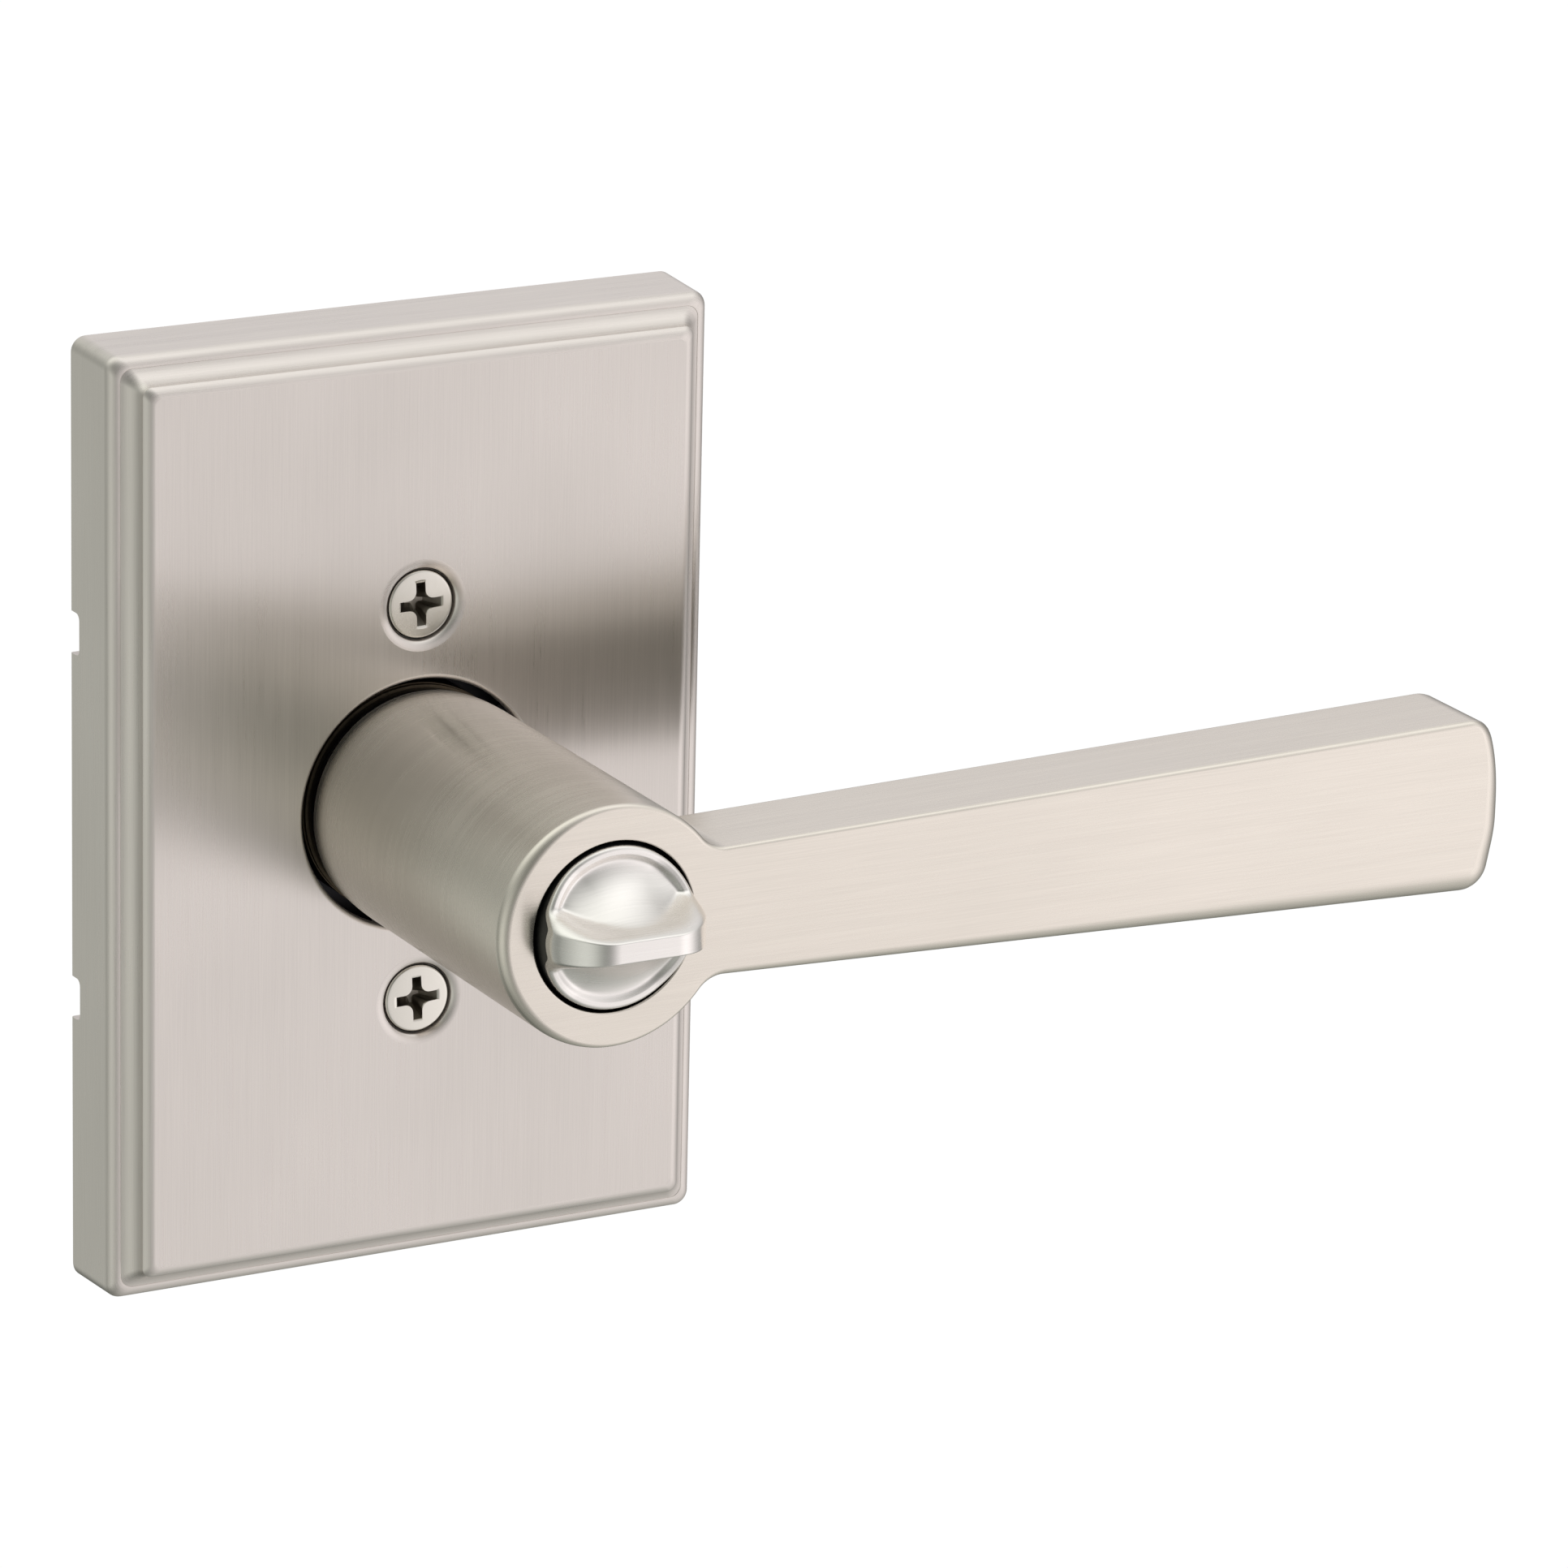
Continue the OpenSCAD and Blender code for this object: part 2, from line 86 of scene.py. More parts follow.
def rolled(r, z, wide, deep, n, end=90):
    """(r, z) points of a hole's rounded edge, from the flat face at z to the wall at r."""
    return [(r + wide * (1 - sin(a)), z - deep * (1 - cos(a))) for a in np.radians(np.linspace(0, end, n))]


def ring(r, z, centre=(0, 0), n=96):
    """A level circle of n points."""
    p = arc(centre, r, 0, 360, n)[:-1]
    return np.column_stack([p, np.full(n, z)])


class Shell:
    """Collects patches of one closed surface. Every corner carries a brush coordinate in
    millimetres, whose first number runs along the brushing."""

    def __init__(self):
        self.points, self.faces, self.brush = [], [], []

    def grid(self, pts, brush):
        """Four-sided faces between the points of neighbouring rows."""
        pts, brush = np.asarray(pts, float), np.asarray(brush, float)
        n, m = pts.shape[:2]
        s = len(self.points)
        self.points.extend(map(tuple, pts.reshape(-1, 3)))
        uv = brush.reshape(-1, 2)
        for i in range(n - 1):
            for j in range(m - 1):
                a = i * m + j
                q = (a, a + 1, a + m + 1, a + m)
                self.faces.append([s + k for k in q])
                self.brush.append([tuple(uv[k]) for k in q])

    def sheet(self, rows, along, across):
        """A grid of rows of points, with its brush coordinate in two parts."""
        rows = np.array(rows)
        parts = [np.broadcast_to(part, rows.shape[:2]) for part in (along, across)]
        self.grid(rows, np.stack(parts, -1))

    def lathe(self, profile, centre=(0, 0), n=96):
        """Turns (r, z) points about an axis parallel to z."""
        prof = np.asarray(profile, float)
        a = np.radians(np.linspace(0, 360, n + 1))
        pts = np.empty((len(prof), n + 1, 3))
        pts[..., 0] = centre[0] + prof[:, :1] * np.cos(a)
        pts[..., 1] = centre[1] + prof[:, :1] * np.sin(a)
        pts[..., 2] = prof[:, 1:]
        self.sheet(pts, a * prof[:, 0].max(), lengths(prof)[:, None])

    def cap(self, loops, turn=False):
        """Fills a flat region: the outer loop, then its holes. It is brushed along x, or with
        turn along y."""
        loops = [np.asarray(loop, float) for loop in loops]
        s = len(self.points)
        pts = np.concatenate(loops)
        self.points.extend(map(tuple, pts))
        along, across = (1, 0) if turn else (0, 1)
        for corners in tessellate_polygon([[Vector(p) for p in loop] for loop in loops]):
            self.faces.append([s + k for k in corners])
            self.brush.append([(pts[k][along], pts[k][across]) for k in corners])

    def make(self, name, body, nodes, material, sharp):
        """The finished piece: joined at its seams, shaded, and riding on its body."""
        mesh = bpy.data.meshes.new(name)
        mesh.from_pydata(to_row(self.points).tolist(), [], self.faces)
        layer = mesh.uv_layers.new(name="brush")
        flat = [c for face in self.brush for uv in face for c in uv]
        layer.data.foreach_set("uv", np.array(flat) / BRUSH_UNIT)
        bm = bmesh.new()
        bm.from_mesh(mesh)
        bmesh.ops.remove_doubles(bm, verts=bm.verts, dist=SAME_POINT)
        bmesh.ops.dissolve_degenerate(bm, edges=bm.edges, dist=SAME_POINT / 20)
        bmesh.ops.recalc_face_normals(bm, faces=bm.faces)
        bm.to_mesh(mesh)
        bm.free()
        obj = bpy.data.objects.new(name, mesh)
        bpy.context.scene.collection.objects.link(obj)
        obj.data.materials.append(material)
        shade(obj, sharp)
        obj.modifiers.new("normals", "WEIGHTED_NORMAL").keep_sharp = True
        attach(obj, body)
        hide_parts(*nodes)
        return obj


def shade(obj, sharp):
    """Smooth shading, except over edges that turn by more than sharp degrees."""
    for p in obj.data.polygons:
        p.use_smooth = True
    obj.data.set_sharp_from_angle(angle=radians(sharp))


def carve(obj, cutters):
    """Cuts closed meshes out of obj, and removes them."""
    for cutter in cutters:
        mod = obj.modifiers.new("cut", "BOOLEAN")
        mod.operation, mod.solver, mod.object = "DIFFERENCE", "EXACT", cutter
        obj.modifiers.move(len(obj.modifiers) - 1, 0)
        bpy.context.view_layer.update()
        with bpy.context.temp_override(object=obj, active_object=obj, selected_objects=[obj]):
            bpy.ops.object.modifier_apply(modifier=mod.name)
        bpy.data.objects.remove(cutter)


def loose(points, faces):
    """A closed helper mesh for carve, given in the bench frame."""
    mesh = bpy.data.meshes.new("cutter")
    mesh.from_pydata(to_row(points).tolist(), [], faces)
    bm = bmesh.new()
    bm.from_mesh(mesh)
    bmesh.ops.recalc_face_normals(bm, faces=bm.faces)
    bm.to_mesh(mesh)
    bm.free()
    obj = bpy.data.objects.new("cutter", mesh)
    bpy.context.scene.collection.objects.link(obj)
    return obj


def loft(levels):
    """A closed helper mesh through loops with the same number of points."""
    n = len(levels[0])
    faces = []
    for k in range(len(levels) - 1):
        a, b = k * n, (k + 1) * n
        faces += [[a + i, a + (i + 1) % n, b + (i + 1) % n, b + i] for i in range(n)]
    last = (len(levels) - 1) * n
    faces += [list(range(n))[::-1], list(range(last, last + n))]
    return loose([p for level in levels for p in level], faces)


def paint(obj, material, where):
    """Gives the faces whose centre passes where(x, y, z), in the bench frame, another material."""
    obj.data.materials.append(material)
    for p in obj.data.polygons:
        c = p.center * 1000
        if where(c.x, c.z, -c.y):
            p.material_index = 1


# ---------------------------------------------------------------- materials

def new_material(name):
    mat = bpy.data.materials.new(name)
    mat.use_nodes = True
    nt = mat.node_tree
    nt.nodes.clear()
    out = nt.nodes.new("ShaderNodeOutputMaterial")
    shader = nt.nodes.new("ShaderNodeBsdfPrincipled")
    nt.links.new(shader.outputs[0], out.inputs[0])
    return mat, nt, shader


def noise(nt, vector, scale, detail, rough):
    n = nt.nodes.new("ShaderNodeTexNoise")
    n.inputs["Scale"].default_value = scale
    n.inputs["Detail"].default_value = detail
    n.inputs["Roughness"].default_value = rough
    nt.links.new(vector, n.inputs["Vector"])
    return n.outputs["Fac"]


def stretched(nt, source, along, across):
    m = nt.nodes.new("ShaderNodeMapping")
    m.inputs["Scale"].default_value = (along, across, 1)
    nt.links.new(source, m.inputs["Vector"])
    return m.outputs[0]


def spread(nt, fac, lo, hi):
    """Stretches a noise's usual range, 0.3 to 0.7, over lo to hi."""
    m = nt.nodes.new("ShaderNodeMapRange")
    m.inputs["From Min"].default_value, m.inputs["From Max"].default_value = 0.3, 0.7
    m.inputs["To Min"].default_value, m.inputs["To Max"].default_value = lo, hi
    nt.links.new(fac, m.inputs["Value"])
    return m.outputs[0]


def tinted(nt, fac, tone, change):
    """A colour that goes from tone less change to tone plus change."""
    tone = np.array(tone, float)
    lo, hi = tone * (1 - change), np.minimum(tone * (1 + change), 1)
    m = nt.nodes.new("ShaderNodeMix")
    m.data_type = "RGBA"
    m.inputs[6].default_value, m.inputs[7].default_value = (*lo, 1), (*hi, 1)
    nt.links.new(spread(nt, fac, 0, 1), m.inputs[0])
    return m.outputs[2]


def average(nt, a, b, share):
    m = nt.nodes.new("ShaderNodeMix")
    m.data_type = "FLOAT"
    m.inputs[0].default_value = share
    nt.links.new(a, m.inputs[2])
    nt.links.new(b, m.inputs[3])
    return m.outputs[0]


def bumped(nt, height, relief, depth):
    bump = nt.nodes.new("ShaderNodeBump")
    bump.inputs["Strength"].default_value = relief
    bump.inputs["Distance"].default_value = depth
    nt.links.new(height, bump.inputs["Height"])
    return bump.outputs[0]


def brushed(name, tone, rough, drawn, streak, relief, fine=55.0):
    """Satin plate with fine brush lines along the first brush coordinate. fine is about the
    number of lines in one brush unit, and drawn is how far they draw out the shine."""
    mat, nt, shader = new_material(name)
    uv = nt.nodes.new("ShaderNodeUVMap")
    uv.uv_map = "brush"
    lines = noise(nt, stretched(nt, uv.outputs[0], 0.9, fine), 1.0, 4.0, 0.62)
    wide = noise(nt, stretched(nt, uv.outputs[0], 0.225, fine * 0.16), 1.0, 3.0, 0.5)
    cloud = noise(nt, stretched(nt, uv.outputs[0], 0.35, 0.5), 1.0, 2.0, 0.5)
    both = average(nt, lines, wide, 0.35)
    grain = average(nt, both, cloud, 0.4)
    tangent = nt.nodes.new("ShaderNodeTangent")
    tangent.direction_type, tangent.uv_map = "UV_MAP", "brush"
    nt.links.new(tinted(nt, both, tone, streak), shader.inputs["Base Color"])
    nt.links.new(spread(nt, grain, rough - 0.045, rough + 0.045), shader.inputs["Roughness"])
    nt.links.new(tangent.outputs[0], shader.inputs["Tangent"])
    nt.links.new(bumped(nt, both, relief, 0.00002), shader.inputs["Normal"])
    shader.inputs["Metallic"].default_value = 1.0
    shader.inputs["Anisotropic"].default_value = drawn
    shader.inputs["Anisotropic Rotation"].default_value = 0.25
    return mat


def plain(name, tone, rough, speck=0.05, metallic=1.0, scale=900.0, relief=0.12):
    """Plated, sintered or moulded parts: even colour with a fine grain and soft clouds."""
    mat, nt, shader = new_material(name)
    place = nt.nodes.new("ShaderNodeTexCoord").outputs["Object"]
    grain = noise(nt, place, scale, 4.0, 0.6)
    cloud = noise(nt, place, scale * 0.12, 2.0, 0.5)
    both = average(nt, grain, cloud, 0.5)
    nt.links.new(tinted(nt, both, tone, speck), shader.inputs["Base Color"])
    nt.links.new(spread(nt, both, rough - 0.06, rough + 0.06), shader.inputs["Roughness"])
    nt.links.new(bumped(nt, grain, relief, 0.00003), shader.inputs["Normal"])
    shader.inputs["Metallic"].default_value = metallic
    return mat


ROSE_PLATE = brushed("rose_nickel", (0.74, 0.69, 0.65), 0.29, 0.96, 0.07, 0.35)
LEVER_PLATE = brushed("lever_nickel", (0.75, 0.697, 0.627), 0.27, 0.72, 0.07, 0.35)
BUTTON_PLATE = brushed("button_nickel", (0.84, 0.81, 0.78), 0.27, 0.55, 0.05, 0.3, fine=40)
SCREW_PLATE = plain("screw_nickel", (0.72, 0.69, 0.63), 0.24, speck=0.04)
ZINC = plain("zinc_steel", (0.64, 0.65, 0.645), 0.34, speck=0.09)
BRONZE = plain("sintered_bronze", (0.15, 0.12, 0.085), 0.5, speck=0.22, scale=2600.0, relief=0.3)
# Near black, painted shade inside the rose and on the button's side in the gap round it
PAINTED_SHADE = plain("painted_shade", (0.10, 0.10, 0.095), 0.5, speck=0.12, scale=1400.0, relief=0.2)
# Darker plate, painted shade in the screw heads' cross recesses
RECESS_SHADE = plain("screw_recess_shade", (0.30, 0.275, 0.24), 0.34, speck=0.08)
# Black oxide on small steel parts; also painted shade in the lever's bores and on the bearing collar
BLACK_AND_SHADE = plain("black_oxide_and_shade", (0.055, 0.055, 0.06), 0.38, speck=0.15)
ACETAL = plain("moulded_acetal", (0.80, 0.79, 0.75), 0.42, speck=0.02, metallic=0.0)


# ---------------------------------------------------------------- rose

rose_lo, rose_hi = bench_box("rose")
ROSE_W, ROSE_H = rose_hi[0] - rose_lo[0], rose_hi[1] - rose_lo[1]
PANEL_Z = rose_hi[2]
spacer_lo, spacer_hi = bench_box("screw_spacers")
SCREW_Y = (spacer_hi[1] - spacer_lo[1]) / 2 - (spacer_hi[0] - spacer_lo[0]) / 2
ROSE_SHARP = 24  # degrees
CORNER_N = 10  # steps in each rounded corner
SHEET = 1.2
HOLE_R, HOLE_ROUND = 13.4, 0.55
DIMPLE_R, DIMPLE_WIDE, DIMPLE_DEEP = 3.92, 1.03, 0.45
DIMPLE_BACK, DIMPLE_OUTER_R = 8.0, 4.8  # the dimple seen from behind
SCREW_HOLE_R = 2.3
SIDE_WALL = 7.7  # depth of the straight side
FOOT = 0.25  # small round at the door, and the side wall's draft
PANEL_INSET = 4.25  # from the side to where the panel is flat
LEDGE = 4.6  # from the side to the inner wall behind the panel


def rose_loop(inset, z):
    """The rose's outline, moved in by inset."""
    r = 1.6 - 0.19 * inset
    pts = []
    for sx, sy, a0 in ((1, 1, 0), (-1, 1, 90), (-1, -1, 180), (1, -1, 270)):
        c = (sx * (ROSE_W / 2 - inset - r), sy * (ROSE_H / 2 - inset - r))
        pts.append(arc(c, r, a0, a0 + 90, CORNER_N))
    p = np.concatenate(pts)
    return np.column_stack([p, np.full(len(p), z)])


def rose_bands(shell, profile):
    """A moulding run round the rose, brushed along each side."""
    prof = np.asarray(profile, float)
    loops = np.array([rose_loop(i, z) for i, z in prof])
    n = CORNER_N + 1
    cut = [n // 2 + n * k for k in range(4)]
    spans = [loops[:, a:b + 1] for a, b in zip(cut, cut[1:])]
    spans.append(np.concatenate([loops[:, cut[3]:], loops[:, :cut[0] + 1]], 1))
    for k, part in enumerate(spans):
        side = part[..., k % 2]
        apart = 17.3 * (k + 1)  # so that no two sides show the same brush lines
        shell.sheet(part, side, lengths(prof)[:, None] + apart)


def cove(crease, edge):
    """Hollow between the bead and the panel's shoulder, as (inset, z) points."""
    cz = edge[1] + 0.2
    cx = (edge[0] ** 2 + (edge[1] - cz) ** 2 - crease[0] ** 2 - (crease[1] - cz) ** 2)
    cx /= 2 * (edge[0] - crease[0])
    r = hypot(edge[0] - cx, edge[1] - cz)
    a0 = degrees(atan2(crease[1] - cz, crease[0] - cx))
    a1 = degrees(atan2(edge[1] - cz, edge[0] - cx))
    return arc((cx, cz), r, a0, a1, 12)


def moulding():
    """(inset, z) points up the rose's side and over its edge to the panel."""
    bead_r, shoulder_r = 1.25, 1.402
    bead = np.radians(np.linspace(0, 90, 13))
    shoulder = np.radians(np.linspace(54, 0, 9))
    return np.concatenate([
        [(FOOT, 0.0), (0.06, 0.07), (0.0, FOOT)],
        [(FOOT * t, FOOT + (SIDE_WALL - FOOT) * t) for t in (0.25, 0.5, 0.75)],
        [(FOOT + bead_r * (1 - cos(a)), SIDE_WALL + bead_r * sin(a)) for a in bead],
        cove((FOOT + bead_r + 0.04, SIDE_WALL + bead_r - 0.03), (3.1, PANEL_Z - 0.6)),
        [(PANEL_INSET - shoulder_r * sin(a), PANEL_Z - shoulder_r * (1 - cos(a))) for a in shoulder],
    ])


def notches():
    """Cutters of the notches that take a screwdriver's tip, two in each long side."""
    outline = [(-2.25, -0.5), (2.25, -0.5), (2.25, 1.3), *arc((1.55, 1.3), 0.7, 0, 90, 6)[1:],
               *arc((-1.55, 1.3), 0.7, 90, 180, 6)]
    for sx in (-1, 1):
        for sy in (-1, 1):
            x0, y0 = sx * ROSE_W / 2, sy * 19.7
            yield loft([[(x0 + d, y0 + p[0], p[1]) for p in outline] for d in (-3, 3)])


def build_rose():
    under = PANEL_Z - SHEET
    seat_z = PANEL_Z - 0.6  # rim of the countersunk seat for a screw's head
    shell = Shell()
    rose_bands(shell, moulding())
    rims = [ring(DIMPLE_R + DIMPLE_WIDE, PANEL_Z, (0, s * SCREW_Y), 64) for s in (-1, 1)]
    shell.cap([rose_loop(PANEL_INSET, PANEL_Z), ring(HOLE_R + HOLE_ROUND, PANEL_Z)] + rims, turn=True)
    shell.lathe(rolled(HOLE_R, PANEL_Z, HOLE_ROUND, HOLE_ROUND, 9) + [(HOLE_R, under)])
    dimple = rolled(DIMPLE_R, PANEL_Z, DIMPLE_WIDE, DIMPLE_DEEP, 12, 84)
    dimple += [(3.9, seat_z - 0.6), (3.78, seat_z - 0.6), (3.72, seat_z), (SCREW_HOLE_R, seat_z - 1.66)]
    dimple += [(SCREW_HOLE_R, DIMPLE_BACK), (DIMPLE_OUTER_R, DIMPLE_BACK), (DIMPLE_OUTER_R, under)]
    for s in (-1, 1):
        shell.lathe(dimple, (0, s * SCREW_Y), 64)
    rims = [ring(DIMPLE_OUTER_R, under, (0, s * SCREW_Y), 64) for s in (-1, 1)]
    shell.cap([rose_loop(LEDGE, under), ring(HOLE_R, under)] + rims, turn=True)
    inner = FOOT + SHEET  # from the side to the side wall's inner face
    rose_bands(shell, [(FOOT, 0), (inner, 0), (inner, SIDE_WALL), (LEDGE, SIDE_WALL), (LEDGE, under)])
    obj = shell.make("rose_shell", "rose_side", ["rose"], ROSE_PLATE, ROSE_SHARP)
    carve(obj, notches())
    shade(obj, ROSE_SHARP)

    # Painted shade: the rose's inside, behind its panel and side wall, is near black
    def shaded_inside(x, y, z):
        from_side = min(ROSE_W / 2 - abs(x), ROSE_H / 2 - abs(y))
        behind_panel = from_side > LEDGE - 0.1 and z < under + 0.01
        return from_side > inner - 0.05 and (z < DIMPLE_BACK + 0.02 or behind_panel)

    paint(obj, PAINTED_SHADE, shaded_inside)


build_rose()


# ---------------------------------------------------------------- lever

lever_lo, lever_hi = bench_box("lever")
FRONT = lever_hi[2]
SHANK_R = (lever_hi[1] - lever_lo[1]) / 2
REACH = lever_hi[0]
REAR = lever_lo[2]
BLADE_REAR = FRONT - 11.6
DROOP = radians(0.66)
LEVER_SHARP = 28  # degrees
BLADE_HALF = 6.38  # half height that the blade's edges would have at the turning axis
BLADE_SLOPE = 0.0325  # growth of that half height for each millimetre of reach
ROOT_R = 3.6  # hollow corners between shank and blade
TIP_ARC_R, TIP_CORNER_R, TIP_DROP = 30.0, 3.4, 1.6
TUBE_BORE_R, TUBE_BORE_TOP = 9.55, 40.0  # for the drive tube
SLEEVE_BORE_R = 6.5
FACE_HOLE_R, FACE_HOLE_ROUND, FACE_HOLE_FLOOR = 8.95, 0.2, 48.0  # for the button
SET_SCREW_R, SET_SCREW_Z = 2.5, 24.0


def facing(angle):
    """Direction in the plane, from its angle in degrees."""
    return np.array([cos(radians(angle)), sin(radians(angle))])


def lever_outline(side):
    """Half outline of the lever's head, from the shank's far side to the blade's tip: points,
    outward normals, radius of the front edge, radius of the rear edge. side is 1 for the
    upper half, and -1 for the lower one, which is drawn as the upper one too."""
    slant = atan(BLADE_SLOPE)
    off = BLADE_HALF * cos(slant) + ROOT_R
    out = sqrt((SHANK_R + ROOT_R) ** 2 - off ** 2)
    hollow = np.array([out * cos(slant) - off * sin(slant), out * sin(slant) + off * cos(slant)])
    root = degrees(atan2(hollow[1], hollow[0]))
    tip = np.array([REACH - TIP_ARC_R, -TIP_DROP * side])
    # the tip's corner touches the blade's straight edge and the arc of the tip
    lift = BLADE_HALF + BLADE_SLOPE * tip[0] - TIP_CORNER_R / cos(slant) - tip[1]
    steep = 1 + BLADE_SLOPE ** 2
    under_root = (BLADE_SLOPE * lift) ** 2 - steep * (lift ** 2 - (TIP_ARC_R - TIP_CORNER_R) ** 2)
    x = tip[0] + (sqrt(under_root) - BLADE_SLOPE * lift) / steep
    corner = np.array([x, BLADE_HALF + BLADE_SLOPE * x - TIP_CORNER_R / cos(slant)])
    end = degrees(atan2(*(corner - tip)[::-1]))
    # radius of the front edge where the blade starts, where it ends, and at its tip's corner
    near, far, last = (0.4, 0.6, 1.6) if side > 0 else (0.9, 2.8, 3.0)
    rows = []
    for a in np.linspace(180, root, 57)[:-1]:
        n = facing(a)
        rows.append((n * SHANK_R, n, 0.5 + 0.65 * smooth(90, 150, a), 0.0))
    upright = 90 + degrees(slant)
    for t in np.linspace(0, 1, 15)[:-1]:
        n = facing(root + (upright - root) * t)
        rows.append((hollow - ROOT_R * n, n, 0.5 + (near - 0.5) * t, 0.8 * smooth(0, 0.8, t)))
    n = facing(upright)
    start, stop = hollow - ROOT_R * n, corner + TIP_CORNER_R * n
    for t in np.linspace(0, 1, 41)[:-1]:
        rows.append((start + (stop - start) * t, n, near + (far - near) * t, 0.8))
    for t in np.linspace(0, 1, 17)[:-1]:
        n = facing(upright + (end - upright) * t)
        rows.append((corner + TIP_CORNER_R * n, n, far + (last - far) * smooth(0, 1, t), 0.8 + 0.3 * t))
    for t in np.linspace(0, 1, 15):
        n = facing(end * (1 - t))
        rows.append((tip + TIP_ARC_R * n, n, last + (2.4 - last) * smooth(0, 1, t), 1.1))
    return rows


def droop(p):
    """The blade and its outline hang a little below level."""
    p = np.array(p, float)
    x, y = p[..., 0].copy(), p[..., 1].copy()
    p[..., 0] = x * cos(DROOP) + y * sin(DROOP)
    p[..., 1] = y * cos(DROOP) - x * sin(DROOP)
    return p


def build_lever():
    shell = Shell()
    upper = lever_outline(1)
    lower = [(p * (1, -1), n * (1, -1), front, rear) for p, n, front, rear in lever_outline(-1)]
    points, normals, front_r, rear_r = (np.array(column) for column in zip(*lower[:-1], *upper[::-1]))
    count = len(points)

    def row(inset, z):
        xy = points - normals * np.broadcast_to(inset, count)[:, None]
        return droop(np.column_stack([xy, np.broadcast_to(z, count)]))

    # front edge, wall and rear edge of the head
    rows, across = [], []
    for a in np.radians(np.linspace(90, 0, 11)):
        rows.append(row(front_r * (1 - cos(a)), FRONT - front_r * (1 - sin(a))))
        across.append(-front_r * a)
    wall_top, wall_end = FRONT - front_r, BLADE_REAR + rear_r
    for t in (0.25, 0.5, 0.75, 1.0):
        z = wall_top + (wall_end - wall_top) * t
        rows.append(row(0, z))
        across.append(wall_top - z)
    for a in np.radians(np.linspace(0, 90, 7))[1:]:
        rows.append(row(rear_r * (1 - cos(a)), BLADE_REAR + rear_r * (1 - sin(a))))
        across.append(wall_top - BLADE_REAR + rear_r * a)
    shell.sheet(rows, lengths(points), across)
    # front face, with the button's hole
    shell.cap([rows[0][:-1], ring(FACE_HOLE_R + FACE_HOLE_ROUND, FRONT)])
    shell.lathe(rolled(FACE_HOLE_R, FRONT, FACE_HOLE_ROUND, FACE_HOLE_ROUND, 6)
                + [(FACE_HOLE_R, FACE_HOLE_FLOOR)])
    # rear face of the blade, softened where it meets the shank
    blade = np.flatnonzero(rear_r > 0)
    first, last = blade[0] - 1, blade[-1] + 1
    half = degrees(atan2(points[last][1], points[last][0]))
    behind = np.linspace(half, -half, 33)
    soft = 1.2 * smooth(0, 22, half - np.abs(behind))
    a = np.radians(behind)
    web = []
    for t in np.radians(np.linspace(90, 0, 6)):
        r = SHANK_R + soft * (1 - cos(t))
        z = BLADE_REAR - soft * (1 - sin(t))
        web.append(droop(np.column_stack([r * np.cos(a), r * np.sin(a), z])))
    shell.sheet(web, a * SHANK_R, np.array(web)[..., 2])
    shell.cap([np.concatenate([rows[-1][first:last], web[0][:-1]])])
    # shank, from the blade's rear down to its rounded rear end
    top = np.concatenate([rows[-1][last:], rows[-1][1:first + 1], web[-1][::-1][1:]])
    theta = np.unwrap(np.arctan2(top[:, 1], top[:, 0]))
    low = 16.5  # where the rear end's rounding begins
    body = [np.column_stack([top[:, :2], low + (top[:, 2] - low) * t]) for t in np.linspace(1, 0, 6)]
    tail = [(0.03, 15.3), (0.09, 14.0), (0.18, 12.9), (0.3, 12.1), (0.48, 11.55), (0.75, 11.2),
            (1.15, REAR), (SHANK_R - TUBE_BORE_R, REAR)]
    for inset, z in tail:
        body.append(np.column_stack([top[:, :2] * (1 - inset / SHANK_R), np.full(len(top), z)]))
    across = FRONT - np.array(body)[..., 2]
    across[-1] += 2.0
    shell.sheet(body, theta * SHANK_R, across)
    # bores, on the same ring of points as the shank's end
    inner = body[-1][:, :2] / TUBE_BORE_R
    bore = [np.column_stack([inner * r, np.full(len(inner), z)])
            for r, z in [(TUBE_BORE_R, REAR), (TUBE_BORE_R, TUBE_BORE_TOP),
                         (SLEEVE_BORE_R, TUBE_BORE_TOP), (SLEEVE_BORE_R, FACE_HOLE_FLOOR)]]
    shell.sheet(bore, theta * TUBE_BORE_R, np.array(bore)[..., 2])
    shell.cap([ring(FACE_HOLE_R, FACE_HOLE_FLOOR), bore[-1][:-1][::-1]])
    obj = shell.make("lever_casting", "lever_side", ["lever"], LEVER_PLATE, LEVER_SHARP)
    # hole for the set screw, through the underside
    circle = arc((0, SET_SCREW_Z), SET_SCREW_R, 0, 360, 48)[:-1]
    carve(obj, [loft([[(x, y, z) for x, z in circle] for y in (-8.0, -14.0)])])
    shade(obj, LEVER_SHARP)
    # Painted shade: the button's hole below its rounded edge, and the bores behind it, are black
    inside = FRONT - FACE_HOLE_ROUND - 0.01
    paint(obj, BLACK_AND_SHADE, lambda x, y, z: hypot(x, y) < TUBE_BORE_R + 0.05 and z < inside)


build_lever()


# ---------------------------------------------------------------- turn button

button_lo, button_hi = bench_box("turn_button")
BUTTON_R = (button_hi[0] - button_lo[0]) / 2
WING_TOP = button_hi[2]
WING_HALF = 3.2  # half length of the crest's level part
SCOOP_R = 7.6  # outer edge of the hollow flanks
RIM_Z = FRONT + 0.5
RIM_ROUND = 0.45
GAP_Z = FRONT - 0.1  # where the disc's side goes into the gap round it
SIDE_MID, DISC_REAR = 52.0, 49.6
STEM_R, STEM_REAR = 4.0, 32.5
BAR_HOLE_R, BAR_HOLE_TOP = 2.7, 44.0  # for the lock bar


